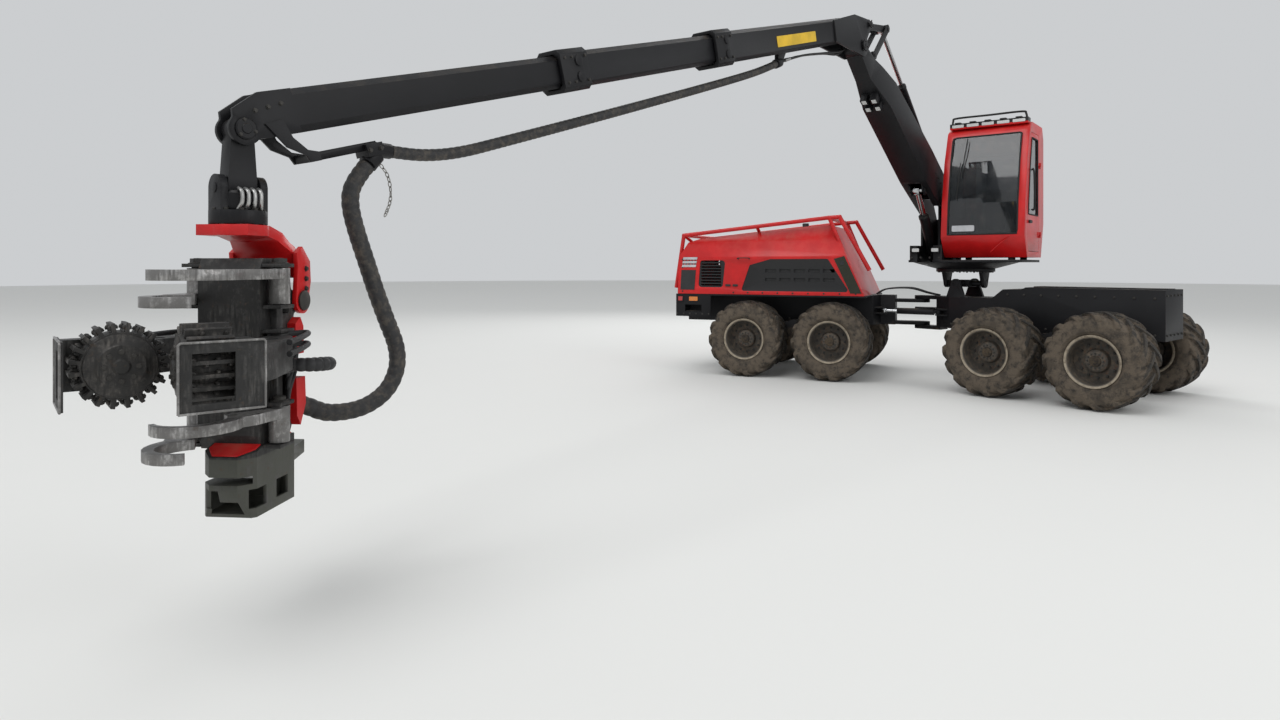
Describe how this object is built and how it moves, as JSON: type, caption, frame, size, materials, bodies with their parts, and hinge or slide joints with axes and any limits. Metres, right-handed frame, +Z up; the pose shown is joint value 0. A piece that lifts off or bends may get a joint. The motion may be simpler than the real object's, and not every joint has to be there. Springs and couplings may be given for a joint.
{
  "type": "forestry harvester",
  "caption": "Forestry harvester on bogie wheels: centre-hinged frame, levelled turntable with cab and crane, telescopic outer boom and hanging harvester head.",
  "frame": {"origin": "on the ground, below the slewing axis of the turntable", "axes": "+X forward along the front frame, +Y to the left, +Z up"},
  "size_m": [8.3768, 14.2055, 5.6311],
  "materials": {
    "frame_steel": "satin",
    "red_paint": "satin",
    "engine_iron": "rough",
    "tyre_rubber": "matte",
    "rim_steel": "matte",
    "rod_chrome": "polished",
    "window_glass": "polished",
    "seat_fabric": "matte",
    "worn_steel": "rough",
    "hose_rubber": "matte"
  },
  "bodies": {
    "front": {"front_frame": "frame_steel", "front_axle": "frame_steel"},
    "rear": {"rear_frame": "frame_steel", "rear_axle": "frame_steel", "engine": "engine_iron"},
    "wheel_fr1": {"tyre_fr1": "tyre_rubber", "rim_fr1": "rim_steel"},
    "wheel_fr2": {"tyre_fr2": "tyre_rubber", "rim_fr2": "rim_steel"},
    "wheel_fl1": {"tyre_fl1": "tyre_rubber", "rim_fl1": "rim_steel"},
    "wheel_fl2": {"tyre_fl2": "tyre_rubber", "rim_fl2": "rim_steel"},
    "wheel_rr1": {"tyre_rr1": "tyre_rubber", "rim_rr1": "rim_steel"},
    "wheel_rr2": {"tyre_rr2": "tyre_rubber", "rim_rr2": "rim_steel"},
    "wheel_rl1": {"tyre_rl1": "tyre_rubber", "rim_rl1": "rim_steel"},
    "wheel_rl2": {"tyre_rl2": "tyre_rubber", "rim_rl2": "rim_steel"},
    "steer_barrel_r_body": {"steer_barrel_r": "frame_steel"},
    "steer_rod_r_body": {"steer_rod_r": "rod_chrome"},
    "steer_barrel_l_body": {"steer_barrel_l": "frame_steel"},
    "steer_rod_l_body": {"steer_rod_l": "rod_chrome"},
    "hood_body": {"hood": "red_paint", "hood_guard": "red_paint"},
    "cross": {"level_cross": "frame_steel"},
    "ring": {"level_ring": "frame_steel"},
    "turntable_body": {"turntable": "frame_steel", "cab": "red_paint", "cab_glass": "window_glass", "seat": "seat_fabric"},
    "door_body": {"door": "red_paint", "door_glass": "window_glass"},
    "main_boom_body": {"main_boom": "frame_steel"},
    "lift_barrel_body": {"lift_barrel": "frame_steel"},
    "lift_rod_body": {"lift_rod": "rod_chrome"},
    "outer_boom_body": {"outer_boom": "frame_steel", "boom_hose": "hose_rubber"},
    "jib_barrel_body": {"jib_barrel": "frame_steel"},
    "jib_rod_body": {"jib_rod": "rod_chrome"},
    "jib_link_body": {"jib_link": "frame_steel"},
    "jib_tie_body": {"jib_tie": "frame_steel"},
    "boom_c_body": {"boom_c": "frame_steel", "head_hose": "hose_rubber"},
    "boom_b_body": {"boom_b": "frame_steel"},
    "tip_link_body": {"tip_link": "frame_steel"},
    "rotator_body": {"rotator": "frame_steel"},
    "head_hanger": {"tilt_frame": "red_paint"},
    "head_body": {"head_frame": "frame_steel"},
    "roller_arm_r_body": {"roller_arm_r": "frame_steel"},
    "roller_r_body": {"roller_r": "worn_steel"},
    "knife_r_body": {"knife_r": "worn_steel"},
    "low_knife_r_body": {"low_knife_r": "worn_steel"},
    "roller_arm_l_body": {"roller_arm_l": "frame_steel"},
    "roller_l_body": {"roller_l": "worn_steel"},
    "knife_l_body": {"knife_l": "worn_steel"},
    "low_knife_l_body": {"low_knife_l": "worn_steel"},
    "saw_body": {"saw_bar": "worn_steel"}
  },
  "joints": [
    {"name": "steer", "type": "hinge", "parent": "front", "child": "rear", "pos_m": [-0.8, 0, 1.185], "axis": [0, 0, -1], "range_deg": [-17, 67]},
    {"name": "spin_fr1", "type": "hinge", "parent": "front", "child": "wheel_fr1", "pos_m": [1, -1.125, 0.6725], "axis": [0, 1, 0], "continuous": true},
    {"name": "spin_fr2", "type": "hinge", "parent": "front", "child": "wheel_fr2", "pos_m": [2.5, -1.125, 0.6725], "axis": [0, 1, 0], "continuous": true},
    {"name": "spin_fl1", "type": "hinge", "parent": "front", "child": "wheel_fl1", "pos_m": [1, 1.125, 0.6725], "axis": [0, 1, 0], "continuous": true},
    {"name": "spin_fl2", "type": "hinge", "parent": "front", "child": "wheel_fl2", "pos_m": [2.5, 1.125, 0.6725], "axis": [0, 1, 0], "continuous": true},
    {"name": "spin_rr1", "type": "hinge", "parent": "rear", "child": "wheel_rr1", "pos_m": [-1.59339, -1.61126, 0.6725], "axis": [-0.4226, 0.9063, 0], "continuous": true},
    {"name": "spin_rr2", "type": "hinge", "parent": "rear", "child": "wheel_rr2", "pos_m": [-2.95285, -2.24519, 0.6725], "axis": [-0.4226, 0.9063, 0], "continuous": true},
    {"name": "spin_rl1", "type": "hinge", "parent": "rear", "child": "wheel_rl1", "pos_m": [-2.54428, 0.42793, 0.6725], "axis": [-0.4226, 0.9063, 0], "continuous": true},
    {"name": "spin_rl2", "type": "hinge", "parent": "rear", "child": "wheel_rl2", "pos_m": [-3.90374, -0.206, 0.6725], "axis": [-0.4226, 0.9063, 0], "continuous": true},
    {"name": "steer_barrel_r_turn", "type": "hinge", "parent": "front", "child": "steer_barrel_r_body", "pos_m": [-0.33, -0.3, 1.18], "axis": [0, 0, 1], "range_deg": [-38.32, 9.73]},
    {"name": "steer_rod_r_slide", "type": "slide", "parent": "steer_barrel_r_body", "child": "steer_rod_r_body", "axis": [-0.9682, -0.2502, 0], "range_m": [-0.0884, 0.3475]},
    {"name": "steer_barrel_l_turn", "type": "hinge", "parent": "front", "child": "steer_barrel_l_body", "pos_m": [-0.33, 0.3, 1.18], "axis": [0, 0, 1], "range_deg": [-38.34, 9.74]},
    {"name": "steer_rod_l_slide", "type": "slide", "parent": "steer_barrel_l_body", "child": "steer_rod_l_body", "axis": [-0.9701, -0.2429, 0], "range_m": [-0.3465, 0.0881]},
    {"name": "hood_lift", "type": "hinge", "parent": "rear", "child": "hood_body", "pos_m": [-4.76057, -1.84684, 1.5], "axis": [0.4226, -0.9063, 0], "range_deg": [0, 55]},
    {"name": "level_pitch", "type": "hinge", "parent": "front", "child": "cross", "pos_m": [0, 0, 1.68], "axis": [0, 1, 0], "range_deg": [-15, 15]},
    {"name": "level_roll", "type": "hinge", "parent": "cross", "child": "ring", "pos_m": [0, 0, 1.68], "axis": [-1, 0, 0], "range_deg": [-15, 15]},
    {"name": "slew", "type": "hinge", "parent": "ring", "child": "turntable_body", "pos_m": [0, 0, 1.94], "axis": [0, 0, 1], "range_deg": [-191, 349]},
    {"name": "door_swing", "type": "hinge", "parent": "turntable_body", "child": "door_body", "pos_m": [0.93749, 0.73234, 3.2], "axis": [0, 0, 1], "range_deg": [0, 80]},
    {"name": "boom_lift", "type": "hinge", "parent": "turntable_body", "child": "main_boom_body", "pos_m": [-0.60668, 0.23862, 2.95], "axis": [0.9816, 0.1908, 0], "range_deg": [-34.7, 32.3]},
    {"name": "lift_barrel_turn", "type": "hinge", "parent": "turntable_body", "child": "lift_barrel_body", "pos_m": [-0.56279, 0.01285, 2.08], "axis": [-0.9816, -0.1908, 0], "range_deg": [-20.73, 22.27]},
    {"name": "lift_rod_slide", "type": "slide", "parent": "lift_barrel_body", "child": "lift_rod_body", "axis": [0.1178, -0.6063, 0.7865], "range_m": [-0.3946, 0.4239]},
    {"name": "jib", "type": "hinge", "parent": "main_boom_body", "child": "outer_boom_body", "pos_m": [0.11815, -3.49032, 5.08175], "axis": [-0.9816, -0.1908, 0], "range_deg": [-94.2, 43]},
    {"name": "jib_barrel_turn", "type": "hinge", "parent": "main_boom_body", "child": "jib_barrel_body", "pos_m": [-0.54366, -0.08556, 3.62841], "axis": [-0.9816, -0.1908, 0], "range_deg": [-2.67, 1.23]},
    {"name": "jib_rod_slide", "type": "slide", "parent": "jib_barrel_body", "child": "jib_rod_body", "axis": [0.1492, -0.7677, 0.6232], "range_m": [-0.3403, 0.7453]},
    {"name": "jib_link_turn", "type": "hinge", "parent": "main_boom_body", "child": "jib_link_body", "pos_m": [0.01898, -2.98011, 5.06185], "axis": [-0.9816, -0.1908, 0], "range_deg": [-63.64, 29.06]},
    {"name": "jib_tie_turn", "type": "hinge", "parent": "outer_boom_body", "child": "jib_tie_body", "pos_m": [0.08004, -3.29425, 5.42147], "axis": [-0.9816, -0.1908, 0], "range_deg": [-32.22, 70.56]},
    {"name": "telescope", "type": "slide", "parent": "outer_boom_body", "child": "boom_c_body", "axis": [0.183, -0.9412, -0.284], "range_m": [-4.02, 1.7], "deforming": ["boom_hose"]},
    {"name": "boom_b_slide", "type": "slide", "parent": "outer_boom_body", "child": "boom_b_body", "axis": [0.183, -0.9412, -0.284], "range_m": [-2.0102, 0.8502]},
    {"name": "tip_swing", "type": "hinge", "parent": "boom_c_body", "child": "tip_link_body", "pos_m": [1.7494, -11.88235, 2.74755], "axis": [0.9816, 0.1908, 0], "range_deg": [-60, 45], "deforming": ["head_hose"]},
    {"name": "rotator_swing", "type": "hinge", "parent": "tip_link_body", "child": "rotator_body", "pos_m": [1.7494, -11.88235, 2.41755], "axis": [0.1908, -0.9816, 0], "range_deg": [-40, 40]},
    {"name": "rotator_turn", "type": "hinge", "parent": "rotator_body", "child": "head_hanger", "pos_m": [1.7494, -11.88235, 2.18255], "axis": [0, 0, 1], "continuous": true},
    {"name": "head_tilt", "type": "hinge", "parent": "head_hanger", "child": "head_body", "pos_m": [1.53406, -11.65936, 1.77755], "axis": [0.7193, 0.6947, 0], "range_deg": [0, 90]},
    {"name": "roller_arm_r_open", "type": "hinge", "parent": "head_body", "child": "roller_arm_r_body", "pos_m": [1.57532, -12.05046, 1.50755], "axis": [0, 0, -1], "range_deg": [0, 40]},
    {"name": "roller_r_spin", "type": "hinge", "parent": "roller_arm_r_body", "child": "roller_r_body", "pos_m": [2.02178, -12.48399, 1.50755], "axis": [0.9998, -0.0175, 0], "continuous": true},
    {"name": "knife_r_open", "type": "hinge", "parent": "head_body", "child": "knife_r_body", "pos_m": [1.57532, -12.05046, 1.87255], "axis": [0, 0, -1], "range_deg": [0, 60]},
    {"name": "low_knife_r_open", "type": "hinge", "parent": "head_body", "child": "low_knife_r_body", "pos_m": [1.57532, -12.05046, 1.10255], "axis": [0, 0, -1], "range_deg": [0, 60]},
    {"name": "roller_arm_l_open", "type": "hinge", "parent": "head_body", "child": "roller_arm_l_body", "pos_m": [1.92348, -11.71424, 1.50755], "axis": [0, 0, 1], "range_deg": [-0.01, 40.01]},
    {"name": "roller_l_spin", "type": "hinge", "parent": "roller_arm_l_body", "child": "roller_l_body", "pos_m": [2.34117, -12.17557, 1.50755], "axis": [0.0175, 0.9998, 0], "continuous": true},
    {"name": "knife_l_open", "type": "hinge", "parent": "head_body", "child": "knife_l_body", "pos_m": [1.92348, -11.71424, 1.87255], "axis": [0, 0, 1], "range_deg": [-0.01, 60.01]},
    {"name": "low_knife_l_open", "type": "hinge", "parent": "head_body", "child": "low_knife_l_body", "pos_m": [1.92348, -11.71424, 1.10255], "axis": [0, 0, 1], "range_deg": [-0.01, 60.01]},
    {"name": "saw_swing", "type": "hinge", "parent": "head_body", "child": "saw_body", "pos_m": [1.85631, -11.83471, 0.82355], "axis": [0, 0, 1], "range_deg": [0, 170]}
  ],
  "couplings": [
    {"joint": "steer_barrel_r_turn", "follows": "steer", "ratio": -0.57176},
    {"joint": "steer_rod_r_slide", "follows": "steer", "m_per_rad": 0.29697},
    {"joint": "steer_barrel_l_turn", "follows": "steer", "ratio": -0.57199},
    {"joint": "steer_rod_l_slide", "follows": "steer", "m_per_rad": -0.29606},
    {"joint": "lift_barrel_turn", "follows": "boom_lift", "ratio": -0.64122},
    {"joint": "lift_rod_slide", "follows": "boom_lift", "m_per_rad": -0.69953},
    {"joint": "jib_barrel_turn", "follows": "jib", "ratio": 0.028194},
    {"joint": "jib_rod_slide", "follows": "jib", "m_per_rad": -0.45315},
    {"joint": "jib_link_turn", "follows": "jib", "ratio": 0.67539},
    {"joint": "jib_tie_turn", "follows": "jib", "ratio": -0.74893},
    {"joint": "boom_b_slide", "follows": "telescope", "ratio": 0.5},
    {"joint": "roller_arm_l_open", "follows": "roller_arm_r_open", "ratio": 1},
    {"joint": "knife_l_open", "follows": "knife_r_open", "ratio": 1},
    {"joint": "low_knife_l_open", "follows": "low_knife_r_open", "ratio": 1}
  ]
}
